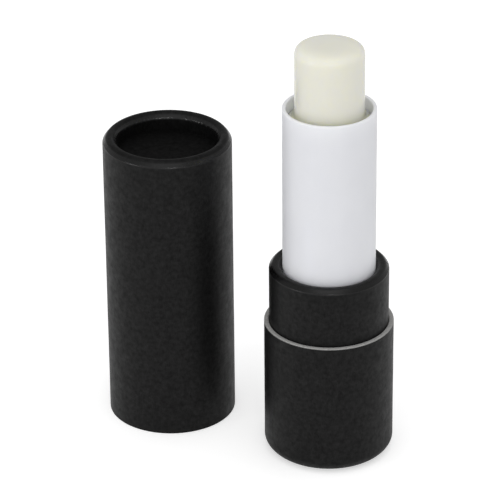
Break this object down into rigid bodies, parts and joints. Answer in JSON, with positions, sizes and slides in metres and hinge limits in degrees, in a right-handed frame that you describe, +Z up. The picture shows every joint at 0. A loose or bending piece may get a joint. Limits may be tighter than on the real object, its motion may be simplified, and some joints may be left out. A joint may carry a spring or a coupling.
{
  "type": "lip balm stick",
  "caption": "Twist-up lip balm stick: balm in a white tube on a black paper neck and base, raised by a screw as the base turns, with its paper cap standing beside it.",
  "frame": {"origin": "on the table, midway between the axes of the stick and its cap", "axes": "+Z up along both axes, +X from the cap to the stick, +Y away from the front"},
  "size_m": [0.0476, 0.02, 0.068],
  "materials": {
    "black_paper": "matte black paper with a fine mottle",
    "grey_board": "bare grey tube board",
    "white_plastic": "satin white moulded plastic",
    "balm_wax": "waxy, slightly translucent, off-white"
  },
  "bodies": {
    "barrel": {"inner_tube": "white_plastic", "neck_board": "grey_board", "neck_wrap": "black_paper"},
    "base": {"sleeve_board": "grey_board", "sleeve_wrap": "black_paper", "base_disc": "grey_board", "base_disc_facing": "black_paper", "drive_screw": "white_plastic"},
    "carrier": {"elevator": "white_plastic", "balm": "balm_wax"},
    "cap": {"cap_board": "grey_board", "cap_wrap": "black_paper", "cap_disc": "grey_board", "cap_disc_facing": "black_paper"}
  },
  "joints": [
    {"name": "base_twist", "type": "hinge", "parent": "barrel", "child": "base", "pos_m": [0.01385, 0, 0], "axis": [0, 0, 1], "range_deg": [-2160, 1440]},
    {"name": "elevator_rise", "type": "slide", "parent": "barrel", "child": "carrier", "axis": [0, 0, 1], "range_m": [-0.01201, 0.01801]},
    {"name": "cap_lift", "type": "slide", "parent": "barrel", "child": "cap", "axis": [0, 0, 1], "range_m": [0, 0.08]}
  ],
  "couplings": [
    {"joint": "elevator_rise", "follows": "base_twist", "m_per_rad": -0.00047746}
  ]
}
